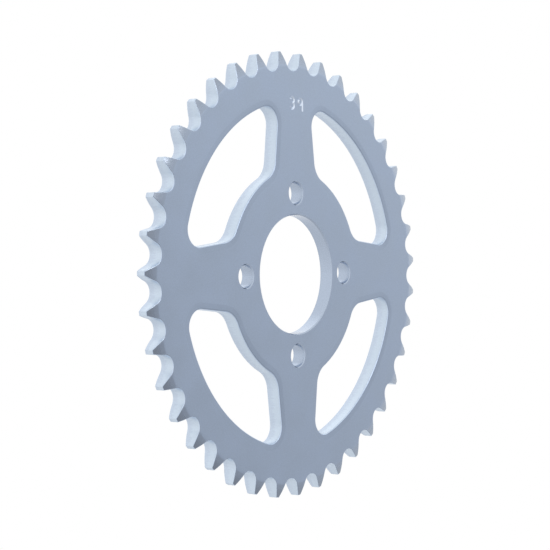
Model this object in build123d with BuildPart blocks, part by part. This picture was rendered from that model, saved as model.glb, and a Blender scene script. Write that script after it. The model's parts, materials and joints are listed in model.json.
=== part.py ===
from build123d import *
from math import acos, degrees, pi, sin
import os

# Rear sprocket of a light motorcycle, cut from one steel plate. Lengths are in millimetres.
# The wheel's axis is Y, and +Z points up through the first bolt hole. The stamped front face
# looks along -Y. The origin is on the axis, halfway through the plate, where the chain runs.
# Angles are in degrees, anticlockwise from +X as the front face is seen.

# Chain that the teeth fit
CHAIN_PITCH = 12.7
ROLLER_DIAMETER = 7.75

# Teeth
TEETH = 39
SEAT_CLEARANCE = 0.075      # how much larger the seat's radius is than the roller's
SEAT_ANGLE = 134.0          # how far the seat goes round the roller
FLANK_RADIUS = 45.0         # bulge of a tooth's flank
TOOTH_HEAD = 3.1            # from the pitch circle out to the tips
TEETH_TURN = 0.7            # from the first bolt hole round to the first gap
BEVEL_HEIGHT = 5.3          # from the tips in to where the sides begin to come together
BEVEL_DEPTH = 1.15          # how far each side has come in at the tips
BEVEL_RADIUS = 30.0         # slight bulge of a bevel
BEVEL_BLEND = 6.0           # rounding between a side and its bevel
TOOTH_EDGE = 0.3            # rounding of a tooth's tip and of the front edge of its gaps

# Plate, hub bore and bolt holes
THICKNESS = 5.6
BORE_DIAMETER = 44.0
BORE_CHAMFER = 0.4
BOLTS = 4
BOLT_HOLE_DIAMETER = 8.4
BOLT_HOLE_CHAMFER = 0.3
BORE_TO_BOLT_HOLE = 3.8     # metal left between the bore and a bolt hole

# Windows between the spokes
BOLT_HOLE_TO_RING_EDGE = 4.6
RIM_WIDTH = 11.6            # from a window out to the bottom of the tooth gaps
SPOKE_WIDTH_AT_RING = 24.8
SPOKE_WIDTH_AT_RIM = 19.2
RING_CORNER_RADIUS = 8.2
RIM_CORNER_RADIUS = 6.0
ROLL_WIDTH = 2.4            # of the front face beside a window, which the punch drew down
ROLL_DEPTH = 0.13
FRONT_EDGE = 0.45
BACK_EDGE = 0.4

# Stamped tooth count, on the rim beyond the first bolt hole
FIGURE_HEIGHT = 5.0
FIGURE_WIDTH = 3.4
FIGURE_STROKE = 0.9
FIGURE_DEPTH = 0.4
FIGURE_SPACING = 5.1        # from the middle of one figure to the middle of the next
FIGURES_SHIFT = 0.8         # of the pair, to the right of the first bolt hole
FIGURES_TO_ROOT = 11.8      # from the bottom of the tooth gaps in to the figures' middle
SECOND_FIGURE_DROP = 0.3    # struck by hand, a little lower than the first

CUT_BEYOND_TIPS = 1.0

TOP = 90
half_thickness = THICKNESS / 2
pitch_radius = CHAIN_PITCH / (2 * sin(pi / TEETH))
seat_radius = ROLLER_DIAMETER / 2 + SEAT_CLEARANCE
root_radius = pitch_radius - seat_radius
tip_radius = pitch_radius + TOOTH_HEAD
bore_radius = BORE_DIAMETER / 2
hole_radius = BOLT_HOLE_DIAMETER / 2
bolt_circle_radius = bore_radius + BORE_TO_BOLT_HOLE + hole_radius
ring_radius = bolt_circle_radius + hole_radius + BOLT_HOLE_TO_RING_EDGE
window_radius = root_radius - RIM_WIDTH
largest_corner = (window_radius - ring_radius) / 2.5
front = Plane.XZ.offset(half_thickness)

# One tooth gap, about its roller's centre, with +X pointing out of the gap. The seat is round,
# and each flank leaves it tangent and bulges into the gap.
half_seat = SEAT_ANGLE / 2
flank_centre = Vector(seat_radius + FLANK_RADIUS, 0).rotate(Axis.Z, 180 - half_seat)
flank_end = degrees(acos((TOOTH_HEAD + CUT_BEYOND_TIPS - flank_centre.X) / FLANK_RADIUS))
with BuildSketch() as tooth_gap:
    with BuildLine():
        CenterArc((0, 0), seat_radius, 180 - half_seat, SEAT_ANGLE)
        flank = CenterArc(flank_centre, FLANK_RADIUS, -half_seat, half_seat - flank_end)
        other_flank = mirror(flank, about=Plane.XZ)
        Line(flank @ 1, other_flank @ 1)
    make_face()

# One spoke, from the axis out past the windows along +X
spoke_flare = (SPOKE_WIDTH_AT_RING - SPOKE_WIDTH_AT_RIM) / (window_radius - ring_radius)
width_at_axis = SPOKE_WIDTH_AT_RIM + spoke_flare * window_radius
width_at_root = SPOKE_WIDTH_AT_RIM - spoke_flare * RIM_WIDTH
with BuildSketch() as spoke:
    with BuildLine():
        side = Line((0, width_at_axis / 2), (root_radius, width_at_root / 2))
        other_side = mirror(side, about=Plane.XZ)
        Line(side @ 0, other_side @ 0)
        Line(side @ 1, other_side @ 1)
    make_face()

# What is missing where the punch drew the front face down, seen along a window's edge: +X goes
# down the window's wall and -Y out over the face. A gentle slope leads into a steep one, whose
# line meets the face at half the width.
steep_start = Vector(0, -ROLL_WIDTH / 2)
steep_slope = Vector(ROLL_DEPTH, ROLL_WIDTH / 2).normalized()
slopes_meet = steep_start + steep_slope * (ROLL_WIDTH / 4)
with BuildSketch() as drawn_down:
    Polygon((0, 0), (ROLL_DEPTH, 0), slopes_meet, (0, -ROLL_WIDTH), align=None)

# The stamped figures' grooves, each about its own middle: a V that is swept round one bowl
# above another, or down the stem
bowl_width = (FIGURE_WIDTH - FIGURE_STROKE) / 2
bowl_height = (FIGURE_HEIGHT - FIGURE_STROKE) / 4
bowl_centre = (0, bowl_height)
with BuildSketch() as groove:
    Polygon((0, FIGURE_STROKE / 2), (-FIGURE_DEPTH, 0), (0, -FIGURE_STROKE / 2), align=None)

with BuildPart() as three:
    with BuildLine():
        bowl = EllipticalCenterArc(bowl_centre, bowl_width, bowl_height, -90, arc_size=240)
    with BuildSketch(Plane(bowl @ 0, x_dir=(0, 0, 1), z_dir=bowl % 0)):
        add(groove.sketch)
    sweep()
    mirror(about=Plane.XZ)

with BuildPart() as nine:
    with BuildLine():
        bowl = EllipticalCenterArc(bowl_centre, bowl_width, bowl_height, arc_size=360)
    with BuildSketch(Plane(bowl @ 0, x_dir=(0, 0, 1), z_dir=bowl % 0)):
        add(groove.sketch)
    sweep()
    with BuildLine():
        stem = Line(bowl @ 0, (bowl_width, -FIGURE_HEIGHT / 2))
    with BuildSketch(Plane(stem @ 0, x_dir=(0, 0, 1), z_dir=stem % 0)):
        add(groove.sketch)
    sweep()

with BuildPart(front) as sprocket_plate:
    # The turned blank: a ring whose sides come together at the rim, so that the links of the
    # chain drop over the teeth
    with BuildSketch(Plane.XY) as section:
        with BuildLine():
            face = Line((bore_radius, half_thickness), (tip_radius - BEVEL_HEIGHT, half_thickness))
            tip_corner = (tip_radius, half_thickness - BEVEL_DEPTH)
            RadiusArc(face @ 1, tip_corner, BEVEL_RADIUS)
            Polyline(tip_corner, (tip_radius, 0), (bore_radius, 0), face @ 0)
        make_face()
        mirror(about=Plane.XZ)
        fillet(section.vertices().group_by(Axis.X)[1], BEVEL_BLEND)
        chamfer(section.vertices().group_by(Axis.X)[0], BORE_CHAMFER)
        fillet(section.vertices().group_by(Axis.X)[-1], TOOTH_EDGE)
    revolve(axis=Axis.Y)

    with PolarLocations(bolt_circle_radius, BOLTS, start_angle=TOP):
        Hole(hole_radius)
    chamfer(edges(Select.LAST).filter_by(GeomType.CIRCLE), BOLT_HOLE_CHAMFER)

    with BuildSketch(front) as windows:
        Circle(window_radius)
        Circle(ring_radius, mode=Mode.SUBTRACT)
        with PolarLocations(0, BOLTS, start_angle=TOP):
            add(spoke.sketch, mode=Mode.SUBTRACT)
        rim_corners = windows.vertices().group_by(SortBy.DISTANCE)[-1]
        fillet(rim_corners, min(RIM_CORNER_RADIUS, largest_corner))
        ring_corners = windows.vertices().group_by(SortBy.DISTANCE)[0]
        fillet(ring_corners, min(RING_CORNER_RADIUS, largest_corner))
    extrude(amount=-THICKNESS, mode=Mode.SUBTRACT)
    fillet(edges(Select.LAST).group_by(Axis.Y)[-1], BACK_EDGE)

    # Beside each window the front face is drawn down to a rounded edge. It is the deepest one that
    # the cut leaves, apart from the edges that run down the window's wall
    for outline in windows.sketch.wires():
        with BuildSketch(Plane(outline @ 0, x_dir=(0, 1, 0), z_dir=outline % 0)):
            add(drawn_down.sketch)
        sweep(path=outline, mode=Mode.SUBTRACT)
        fillet(edges(Select.LAST).group_by(Axis.Y)[-2], FRONT_EDGE)

    with BuildSketch(front):
        with PolarLocations(pitch_radius, TEETH, start_angle=TOP + TEETH_TURN):
            add(tooth_gap.sketch)
    extrude(amount=-THICKNESS, mode=Mode.SUBTRACT)
    seat_edges = edges(Select.LAST).filter_by(GeomType.CIRCLE).group_by(SortBy.RADIUS)[0]
    fillet(seat_edges.group_by(Axis.Y)[0], TOOTH_EDGE)

    figures_height = root_radius - FIGURES_TO_ROOT
    with Locations((FIGURES_SHIFT - FIGURE_SPACING / 2, figures_height)):
        add(three.part, mode=Mode.SUBTRACT)
    with Locations((FIGURES_SHIFT + FIGURE_SPACING / 2, figures_height - SECOND_FIGURE_DROP)):
        add(nine.part, mode=Mode.SUBTRACT)

sprocket_plate.part.label = "sprocket_plate"
os.makedirs("parts", exist_ok=True)
export_step(sprocket_plate.part, "parts/sprocket_plate.step")
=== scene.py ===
"""Looks of a light motorcycle's rear sprocket: punched steel plate under bright zinc plating."""

import json
import logging
import math
from dataclasses import dataclass
from enum import Enum

import bpy
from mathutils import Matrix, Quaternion, Vector

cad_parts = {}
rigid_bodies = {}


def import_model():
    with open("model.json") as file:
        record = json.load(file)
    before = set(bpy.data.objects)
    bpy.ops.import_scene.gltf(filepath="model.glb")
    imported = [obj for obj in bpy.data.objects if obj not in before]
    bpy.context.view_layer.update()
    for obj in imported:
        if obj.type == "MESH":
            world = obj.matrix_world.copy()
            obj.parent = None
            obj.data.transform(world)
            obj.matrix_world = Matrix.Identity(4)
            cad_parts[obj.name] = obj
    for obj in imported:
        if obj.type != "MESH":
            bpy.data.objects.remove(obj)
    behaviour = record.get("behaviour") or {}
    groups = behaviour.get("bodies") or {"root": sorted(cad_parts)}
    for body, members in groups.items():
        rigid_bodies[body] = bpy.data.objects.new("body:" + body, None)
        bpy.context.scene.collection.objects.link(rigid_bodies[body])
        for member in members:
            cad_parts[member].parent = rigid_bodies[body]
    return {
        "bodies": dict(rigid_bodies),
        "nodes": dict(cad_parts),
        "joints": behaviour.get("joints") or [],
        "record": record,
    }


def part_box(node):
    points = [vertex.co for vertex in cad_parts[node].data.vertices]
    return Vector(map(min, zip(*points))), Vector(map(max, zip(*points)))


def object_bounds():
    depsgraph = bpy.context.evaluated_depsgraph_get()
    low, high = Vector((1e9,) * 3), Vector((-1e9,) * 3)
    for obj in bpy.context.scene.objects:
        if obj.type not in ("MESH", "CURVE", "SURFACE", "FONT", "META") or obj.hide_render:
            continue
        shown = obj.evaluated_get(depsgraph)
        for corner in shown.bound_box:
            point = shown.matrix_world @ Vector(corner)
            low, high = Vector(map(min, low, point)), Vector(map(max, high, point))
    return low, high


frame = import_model()
cad_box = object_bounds()

MM = 0.001
NOISE_DETAIL = 4.0

# A Mix node has several sockets called A, B and Result. These are the colour ones.
MIX_FIRST, MIX_SECOND, MIX_RESULT = 6, 7, 2

Span = tuple[float, float]
Triple = tuple[float, float, float]
Socket = bpy.types.NodeSocket
Value = Socket | float | Triple

log = logging.getLogger("sprocket")


class Ray(Enum):
    """Kinds of ray that see the plain backdrop in place of the room."""

    CAMERA = "Is Camera Ray"
    TRANSMISSION = "Is Transmission Ray"


class ShaderGraph:
    """A shader tree that is written node by node, with plain numbers or sockets as inputs."""

    def __init__(self, tree: bpy.types.NodeTree) -> None:
        """Empty the tree.

        Args:
            tree: the node tree of a material or of the world.
        """
        self.tree = tree
        tree.nodes.clear()

    def add(self, kind: str, inputs: dict[str | int, Value] | None = None,
            **settings: object) -> bpy.types.Node:
        """Add one node.

        Args:
            kind: the node's type name.
            inputs: what goes into its sockets, by name or number.
            settings: the node's own properties.

        Returns:
            The new node.
        """
        node = self.tree.nodes.new(kind)
        for name, setting in settings.items():
            setattr(node, name, setting)
        for name, value in (inputs or {}).items():
            self.feed(node.inputs[name], value)
        return node

    def feed(self, socket: Socket, value: Value) -> None:
        """Link a socket to another one, or set it.

        Args:
            socket: the input.
            value: an output socket, a number, or a colour of three numbers.
        """
        if isinstance(value, Socket):
            self.tree.links.new(value, socket)
        elif socket.type == "RGBA":
            socket.default_value = (*value, 1.0)
        else:
            socket.default_value = value

    def math(self, operation: str, first: Value, second: Value = 0.0) -> Socket:
        """Work out one sum of two numbers.

        Args:
            operation: the Math node's operation.
            first: its first number.
            second: its second number.

        Returns:
            The result's socket.
        """
        return self.add("ShaderNodeMath", {0: first, 1: second}, operation=operation).outputs[0]

    def product(self, first: Value, *others: Value) -> Socket:
        """Multiply numbers, or keep only what several shares have in common.

        Args:
            first: the first number.
            others: one or more numbers to multiply it by.

        Returns:
            The product's socket.
        """
        for other in others:
            first = self.math("MULTIPLY", first, other)
        return first

    def rest(self, share: Socket) -> Socket:
        """Turn a share into what it leaves of one.

        Args:
            share: a number from nothing to one.

        Returns:
            The rest's socket.
        """
        return self.math("SUBTRACT", 1.0, share)

    def step(self, value: Value, low: float, high: float,
             start: float = 0.0, end: float = 1.0) -> Socket:
        """Ease from one number to another as a value passes through a range.

        Args:
            value: what is followed.
            low: the range's first end.
            high: its other end, which may be the lower one.
            start: the result at low and before it.
            end: the result at high and beyond it.

        Returns:
            The result's socket.
        """
        if low > high:
            low, high, start, end = high, low, end, start
        inputs = {"Value": value, "From Min": low, "From Max": high, "To Min": start, "To Max": end}
        return self.add("ShaderNodeMapRange", inputs, interpolation_type="SMOOTHSTEP").outputs[0]

    def blend(self, share: Value, first: Value, second: Value, blend_type: str = "MIX") -> Socket:
        """Blend two colours.

        Args:
            share: how much of the second colour shows.
            first: the colour below.
            second: the colour on top.
            blend_type: how the second colour is laid over the first.

        Returns:
            The blended colour's socket.
        """
        inputs = {"Factor": share, MIX_FIRST: first, MIX_SECOND: second}
        node = self.add("ShaderNodeMix", inputs, data_type="RGBA", blend_type=blend_type)
        return node.outputs[MIX_RESULT]

    def noise(self, place: Socket, scale: float) -> Socket:
        """Make even, cloudy noise.

        Args:
            place: where on the surface it is read.
            scale: patches per unit of place.

        Returns:
            The noise's value, about a half on average.
        """
        inputs = {"Vector": place, "Scale": scale, "Detail": NOISE_DETAIL}
        return self.add("ShaderNodeTexNoise", inputs).outputs["Fac"]

    def stretch(self, place: Socket, scale: Triple) -> Socket:
        """Scale a place along each axis.

        Args:
            place: the place to scale.
            scale: the factor along X, Y and Z.

        Returns:
            The scaled place.
        """
        inputs = {"Vector": place, "Scale": scale}
        return self.add("ShaderNodeMapping", inputs, vector_type="POINT").outputs[0]


@dataclass(frozen=True)
class PlateForm:
    """Where each kind of surface lies on the plate, in millimetres and degrees.

    The bolt holes' reach and the tips' place, both from the wheel's axis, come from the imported
    part. The slopes tell a bevel, and the band beside a window, from the flat face. The figures
    have their middle and how far round it they go. Margins say over what width one kind of
    surface gives way to the next, in from the bevel or out from the holes.

    A facing is one where a surface faces along the axis, and nothing where it faces across it. A
    wall is below the first facing, a rounded edge about the second one, the face above the third,
    and the figures' strokes below the last.
    """

    holes_reach: float
    tips: float
    bevel_height: float = 5.3
    bevel_margins: Span = (1.5, 1.0)
    bevel_slopes: Span = (3.0, 17.0)
    roll_slope: float = 6.2
    hub_margins: Span = (2.0, 1.0)
    figures: Triple = (0.8, 0.0, 63.0)
    figures_reach: float = 6.0
    figures_margin: float = 0.5
    wall_facing: float = 0.3
    edge_facing: float = 0.8
    flat_facing: float = 0.95
    struck_facing: float = 0.97

    @classmethod
    def of_frame(cls, packed: dict) -> "PlateForm":
        """Read the plate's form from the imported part.


        Returns:
            The form.
        """
        mounts = {mount["name"]: mount["dims"] for mount in packed["record"]["mounts"]}
        bolts = mounts["hub_bolts"]
        return cls(
            holes_reach=bolts["pcd_mm"] / 2 + bolts["hole_r_mm"],
            tips=-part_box("sprocket_plate")[0].x / MM,
        )


@dataclass(frozen=True)
class PlateSurface:
    """What a shader reads off the plate.

    The place, how deep it lies along the axis and how far out from it are in millimetres. Each
    kind of surface is one where it lies and nothing elsewhere.
    """

    place: Socket
    depth: Socket
    out: Socket
    wall: Socket
    sheared: Socket
    rolled: Socket
    bevel: Socket
    bored: Socket
    struck: Socket

    @classmethod
    def read(cls, graph: ShaderGraph, form: PlateForm) -> "PlateSurface":
        """Write the nodes that tell the kinds of surface apart.

        Args:
            graph: the material's shader tree.
            form: where each kind of surface lies.

        Returns:
            Their sockets.
        """
        metres = graph.add("ShaderNodeTexCoord").outputs["Object"]
        place = graph.stretch(metres, (1 / MM, 1 / MM, 1 / MM))
        axes = graph.add("ShaderNodeSeparateXYZ", {0: place}).outputs
        out = graph.math("SQRT", graph.math(
            "ADD", graph.product(axes["X"], axes["X"]), graph.product(axes["Z"], axes["Z"])))
        normal = graph.add("ShaderNodeNewGeometry").outputs["Normal"]
        normal_axes = graph.add("ShaderNodeSeparateXYZ", {0: normal}).outputs
        facing = graph.math("ABSOLUTE", normal_axes["Y"])
        slope = graph.math("ARCCOSINE", facing)

        wall = graph.step(facing, form.edge_facing, form.wall_facing)
        face = graph.step(facing, form.edge_facing, form.flat_facing)
        bevel_start = form.tips - form.bevel_height
        toothed = graph.step(out, *(bevel_start - margin for margin in form.bevel_margins))
        beveled = graph.step(slope, *(math.radians(angle) for angle in form.bevel_slopes))
        drawn_down = graph.step(slope, 0.0, math.radians(form.roll_slope))
        hub = graph.step(out, *(form.holes_reach + margin for margin in form.hub_margins))
        edge = graph.step(facing, form.flat_facing, form.edge_facing)
        aside = graph.add("ShaderNodeVectorMath", {
            0: graph.stretch(place, (1.0, 0.0, 1.0)), 1: form.figures},
            operation="DISTANCE").outputs["Value"]
        stroke = graph.step(facing, form.struck_facing, form.edge_facing)
        figures = graph.step(aside, form.figures_reach, form.figures_reach - form.figures_margin)
        return cls(
            place=place,
            depth=axes["Y"],
            out=out,
            wall=wall,
            sheared=graph.product(wall, graph.rest(hub)),
            rolled=graph.product(face, graph.rest(toothed), drawn_down),
            bevel=graph.product(face, toothed, beveled),
            bored=graph.product(hub, edge),
            struck=graph.product(stroke, figures),
        )


@dataclass(frozen=True)
class ZincPlate:
    """Bright zinc plating: satin on the rolled faces, coarser where the steel was sheared.

    A scale is in patches per millimetre, and heights, depths and the turning's pitch are in
    millimetres. A span is the stretch of a noise's value over which its mark comes up. The face's
    roughness and the grain's shades go from their first number to their second over that span.
    The walls broke instead of shearing over the break's depths, on a line that wanders both ways.
    """

    form: PlateForm
    face_colour: Triple = (0.565, 0.668, 0.825)
    cloud_colour: Triple = (0.55, 0.653, 0.82)
    # The rolled edge colour is painted shade: a darker band on the face along the window edges.
    rolled_painted_shade: Triple = (0.46, 0.55, 0.69)
    wall_colour: Triple = (0.615, 0.705, 0.81)
    # The bevel colour is painted shade: the teeth's bevels darker than the plating itself.
    bevel_painted_shade: Triple = (0.42, 0.475, 0.56)
    # The bored colour is painted shade on the bore, its chamfers and the bolt hole walls.
    bored_painted_shade: Triple = (0.44, 0.51, 0.625)
    # The struck colour is a painted highlight: the figures' strokes lighter than the plating.
    struck_painted_highlight: Triple = (0.72, 0.80, 0.92)
    break_colour: Triple = (0.60, 0.68, 0.79)
    face_roughness: Span = (0.33, 0.40)
    wall_roughness: float = 0.42
    break_roughness: float = 0.52
    turned_roughness: float = 0.22
    cloud_scale: float = 0.09
    cloud_span: Span = (0.35, 0.68)
    cloud_share: float = 0.75
    haze_span: Span = (0.3, 0.7)
    grain_scale: float = 2.6
    grain_span: Span = (0.25, 0.75)
    grain_shades: Span = (0.955, 1.03)
    streak_scale: Triple = (2.2, 0.16, 2.2)
    streak_span: Span = (0.3, 0.7)
    break_wander: float = 0.9
    break_depths: Span = (-0.1, 0.9)
    turning_pitch: float = 0.4
    turning_height: float = 0.0012
    grain_height: float = 0.006
    streak_height: float = 0.03
    name: str = "bright_zinc_plate"

    def material(self) -> bpy.types.Material:
        """Build the plating.

        Returns:
            The material, which reads the plate's own place in millimetres.
        """
        material = bpy.data.materials.new(self.name)
        material.use_nodes = True
        graph = ShaderGraph(material.node_tree)
        plate = PlateSurface.read(graph, self.form)
        clouds = graph.noise(plate.place, self.cloud_scale)
        grain = graph.noise(plate.place, self.grain_scale)
        streaks = graph.noise(graph.stretch(plate.place, self.streak_scale), 1.0)
        broken = self.broken(graph, plate, streaks)
        surface = graph.add("ShaderNodeBsdfPrincipled", {
            "Base Color": self.colour(graph, plate, broken, clouds, grain),
            "Metallic": 1.0,
            "Roughness": self.roughness(graph, plate, broken, clouds),
            "Normal": self.relief(graph, plate, grain, streaks)})
        graph.add("ShaderNodeOutputMaterial", {"Surface": surface.outputs[0]})
        return material

    def broken(self, graph: ShaderGraph, plate: PlateSurface, streaks: Socket) -> Socket:
        """Find where the sheared walls broke, towards the back.

        Args:
            graph: the material's shader tree.
            plate: what is read off the plate.
            streaks: the noise that runs down the walls.

        Returns:
            The share of broken wall.
        """
        wander = graph.step(streaks, *self.streak_span, -self.break_wander, self.break_wander)
        depth = graph.math("ADD", plate.depth, wander)
        return graph.product(plate.sheared, graph.step(depth, *self.break_depths))

    def colour(self, graph: ShaderGraph, plate: PlateSurface, broken: Socket,
               clouds: Socket, grain: Socket) -> Socket:
        """Lay the kinds of surface over one another and shade them with the grain.

        Args:
            graph: the material's shader tree.
            plate: what is read off the plate.
            broken: the share of broken wall.
            clouds: the wide noise.
            grain: the fine noise.

        Returns:
            The colour.
        """
        cloudy = graph.step(clouds, *self.cloud_span, 0.0, self.cloud_share)
        colour = graph.blend(cloudy, self.face_colour, self.cloud_colour)
        # The rolled edge, bevel and bored colours laid on here are painted shade, and the struck
        # colour is a painted highlight.
        for share, paint in ((plate.rolled, self.rolled_painted_shade), (plate.wall, self.wall_colour),
                             (broken, self.break_colour), (plate.bevel, self.bevel_painted_shade),
                             (plate.bored, self.bored_painted_shade), (plate.struck, self.struck_painted_highlight)):
            colour = graph.blend(share, colour, paint)
        shade = graph.step(grain, *self.grain_span, *self.grain_shades)
        fleck = graph.add("ShaderNodeCombineXYZ", {0: shade, 1: shade, 2: shade}).outputs[0]
        return graph.blend(1.0, colour, fleck, "MULTIPLY")

    def roughness(self, graph: ShaderGraph, plate: PlateSurface, broken: Socket,
                  clouds: Socket) -> Socket:
        """Make the walls duller and the turned surfaces shinier than the face.

        Args:
            graph: the material's shader tree.
            plate: what is read off the plate.
            broken: the share of broken wall.
            clouds: the wide noise.

        Returns:
            The roughness.
        """
        roughness = graph.step(clouds, *self.haze_span, *self.face_roughness)
        for share, level in ((plate.wall, self.wall_roughness), (broken, self.break_roughness),
                             (plate.bevel, self.turned_roughness),
                             (plate.bored, self.turned_roughness)):
            change = graph.product(graph.math("SUBTRACT", level, roughness), share)
            roughness = graph.math("ADD", roughness, change)
        return roughness

    def relief(self, graph: ShaderGraph, plate: PlateSurface, grain: Socket,
               streaks: Socket) -> Socket:
        """Raise the fine marks: grain all over, turning marks, and streaks down the walls.

        Args:
            graph: the material's shader tree.
            plate: what is read off the plate.
            grain: the fine noise.
            streaks: the noise that runs down the walls.

        Returns:
            The bumped normal.
        """
        turns = math.tau / self.turning_pitch
        rings = graph.math("SINE", graph.product(plate.out, turns))
        threads = graph.math("SINE", graph.product(plate.depth, turns))
        height = graph.product(grain, self.grain_height)
        for marks in (graph.product(plate.bevel, rings, self.turning_height),
                      graph.product(plate.bored, threads, self.turning_height),
                      graph.product(plate.sheared, streaks, self.streak_height)):
            height = graph.math("ADD", height, marks)
        bump = graph.add("ShaderNodeBump", {"Strength": 1.0, "Distance": MM, "Height": height})
        return bump.outputs[0]


@dataclass(frozen=True)
class SprocketPlate:
    """The one piece of the sprocket: teeth, rim, spokes, hub ring, bore and bolt holes."""

    node: str = "sprocket_plate"

    def dress(self, finish: ZincPlate) -> bpy.types.Object:
        """Give the plate its plating.

        Args:
            finish: the plating.

        Returns:
            The dressed plate.
        """
        plate = frame["nodes"][self.node]
        material = finish.material()
        for slot in plate.material_slots:
            slot.material = material
        log.info("%s: %d faces, %s", self.node, len(plate.data.polygons), material.name)
        return plate


@dataclass(frozen=True)
class PaleFloor:
    """A round of white paper below the sprocket, which thins out into the white round it.

    It is solid within the solid radius, and gone at the clear share of its whole radius.
    """

    drop: float = 0.05
    radius: float = 0.16
    solid_radius: float = 0.0
    clear_share: float = 0.97
    colour: Triple = (0.95, 0.95, 0.95)
    roughness: float = 0.9
    sides: int = 96
    name: str = "pale_floor"

    def build(self, low: Vector) -> bpy.types.Object:
        """Lay the floor.

        Args:
            low: the lowest corner of the sprocket.

        Returns:
            The floor.
        """
        bpy.ops.object.select_all(action="DESELECT")
        bpy.ops.mesh.primitive_circle_add(
            vertices=self.sides, radius=self.radius, fill_type="NGON",
            location=(0.0, 0.0, low.z - self.drop))
        bpy.ops.object.transform_apply(location=True, rotation=True, scale=True)
        floor = bpy.context.object
        floor.name = self.name
        floor.data.materials.append(self.paper())
        log.info("%s: %.2f m across", floor.name, 2 * self.radius)
        return floor

    def paper(self) -> bpy.types.Material:
        """Build the paper.

        Returns:
            The material.
        """
        material = bpy.data.materials.new("white_paper")
        material.use_nodes = True
        graph = ShaderGraph(material.node_tree)
        place = graph.add("ShaderNodeTexCoord").outputs["Object"]
        away = graph.add("ShaderNodeVectorMath", {0: place}, operation="LENGTH").outputs["Value"]
        paper = graph.add("ShaderNodeBsdfPrincipled", {"Base Color": self.colour,
                                                       "Roughness": self.roughness})
        clear = graph.add("ShaderNodeBsdfTransparent")
        thinned = graph.add("ShaderNodeMixShader", {
            0: graph.step(away, self.solid_radius, self.radius * self.clear_share),
            1: paper.outputs[0], 2: clear.outputs[0]})
        graph.add("ShaderNodeOutputMaterial", {"Surface": thinned.outputs[0]})
        return material


def toward(azimuth: float, elevation: float) -> Vector:
    """Point from the sprocket to a place in the room.

    Args:
        azimuth: degrees from straight in front of the stamped face, to its right.
        elevation: degrees above the level of the axis.

    Returns:
        The direction, of length one.
    """
    turn, lift = math.radians(azimuth), math.radians(elevation)
    return Vector((math.sin(turn) * math.cos(lift), -math.cos(turn) * math.cos(lift),
                   math.sin(lift)))


@dataclass(frozen=True)
class Opening:
    """The dim side of the room, all dim within its core and as pale as the walls at its edge.

    The core and the edge are degrees from its middle.
    """

    azimuth: float = 31.5
    elevation: float = -16.0
    core: float = 20.0
    edge: float = 59.5
    colour: Triple = (0.395, 0.405, 0.43)

    def share(self, graph: ShaderGraph, direction: Socket) -> Socket:
        """Work out how much of the opening shows in a direction.

        Args:
            graph: the world's shader tree.
            direction: the direction looked in.

        Returns:
            One within the opening's core, and nothing from its edge on.
        """
        near = graph.add("ShaderNodeVectorMath", {
            0: direction, 1: toward(self.azimuth, self.elevation)},
            operation="DOT_PRODUCT").outputs["Value"]
        inputs = {"Value": graph.math("ARCCOSINE", near), "From Min": math.radians(self.core),
                  "From Max": math.radians(self.edge), "To Min": 1.0, "To Max": 0.0}
        return graph.add("ShaderNodeMapRange", inputs).outputs[0]


@dataclass(frozen=True)
class SoftPanel:
    """A square softbox that looks at the sprocket, with its distance and its side in metres."""

    name: str
    azimuth: float
    elevation: float
    distance: float
    side: float
    radiance: float

    def build(self) -> bpy.types.Object:
        """Hang the softbox.

        Returns:
            The lamp.
        """
        lamp = bpy.data.lights.new(self.name, "AREA")
        lamp.shape = "SQUARE"
        lamp.size = self.side
        lamp.energy = self.radiance * math.pi * self.side ** 2
        panel = bpy.data.objects.new(self.name, lamp)
        bpy.context.scene.collection.objects.link(panel)
        direction = toward(self.azimuth, self.elevation)
        panel.location = direction * self.distance
        panel.rotation_mode = "QUATERNION"
        panel.rotation_quaternion = direction.to_track_quat("Z", "Y")
        log.info("%s: radiance %.2f", self.name, self.radiance)
        return panel


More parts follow.
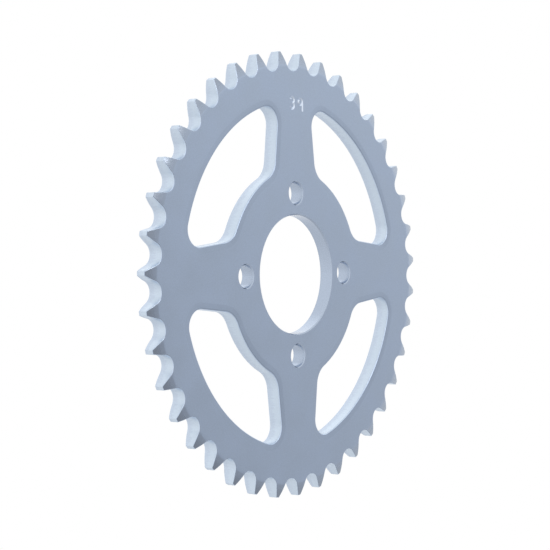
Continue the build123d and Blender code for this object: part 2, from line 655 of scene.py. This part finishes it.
@dataclass(frozen=True)
class Studio:
    """The plain room: pale walls, a little darker low down, a dim side and two softboxes.

    What stands behind the sprocket is plain white. The levels are heights on the walls, as the
    sine of the elevation: the low walls' shade holds below the first one and the high walls'
    shade above the second.
    """

    backdrop: Triple = (1.0, 1.0, 1.0)
    low_walls: Triple = (0.87, 0.87, 0.87)
    high_walls: Triple = (1.05, 1.05, 1.05)
    low_level: float = -0.8
    high_level: float = 0.08
    opening: Opening = Opening()
    panels: tuple[SoftPanel, ...] = (
        SoftPanel("front_softbox", azimuth=12.0, elevation=23.0, distance=1.2, side=0.28,
                  radiance=4.0),
        SoftPanel("rear_softbox", azimuth=150.0, elevation=35.0, distance=1.1, side=0.8,
                  radiance=0.25),
    )

    def build(self) -> None:
        """Light the room."""
        world = bpy.data.worlds.new("pale_studio")
        world.use_nodes = True
        bpy.context.scene.world = world
        graph = ShaderGraph(world.node_tree)
        direction = graph.add("ShaderNodeTexCoord").outputs["Generated"]
        height = graph.add("ShaderNodeSeparateXYZ", {0: direction}).outputs["Z"]
        raised = graph.add("ShaderNodeMapRange", {
            "Value": height, "From Min": self.low_level, "From Max": self.high_level}).outputs[0]
        walls = graph.blend(raised, self.low_walls, self.high_walls)
        room = graph.blend(self.opening.share(graph, direction), walls, self.opening.colour)
        path = graph.add("ShaderNodeLightPath").outputs
        seen = graph.math("MAXIMUM", path[Ray.CAMERA.value], path[Ray.TRANSMISSION.value])
        colour = graph.blend(seen, room, self.backdrop)
        background = graph.add("ShaderNodeBackground", {"Color": colour, "Strength": 1.0})
        graph.add("ShaderNodeOutputWorld", {"Surface": background.outputs[0]})
        for panel in self.panels:
            panel.build()
        log.info("%s: %d softboxes", world.name, len(self.panels))


@dataclass(frozen=True)
class Viewpoint:
    """Where the camera stands and looks, in millimetres, and how many degrees it is tilted."""

    place: Triple = (-441.8, -332.2, 11.1)
    aim: Triple = (-9.81, 0.0, 0.04)
    tilt: float = -0.774
    lens: float = 97.66

    def build(self) -> bpy.types.Object:
        """Set up the camera.

        Returns:
            The scene's camera.
        """
        camera = bpy.data.objects.new("camera", bpy.data.cameras.new("camera"))
        bpy.context.scene.collection.objects.link(camera)
        place, aim = Vector(self.place) * MM, Vector(self.aim) * MM
        camera.data.lens = self.lens
        camera.location = place
        camera.rotation_mode = "QUATERNION"
        camera.rotation_quaternion = (aim - place).to_track_quat("-Z", "Y") @ Quaternion(
            (0.0, 0.0, 1.0), math.radians(self.tilt))
        bpy.context.scene.camera = camera
        log.info("camera: %.0f mm away", place.length / MM)
        return camera


def main() -> None:
    """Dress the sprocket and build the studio."""
    logging.basicConfig(level=logging.INFO, format="%(message)s")
    bpy.context.scene.view_settings.view_transform = "Standard"
    SprocketPlate().dress(ZincPlate(PlateForm.of_frame(frame)))
    PaleFloor().build(cad_box[0])
    Studio().build()
    Viewpoint().build()


if __name__ == "__main__":
    main()
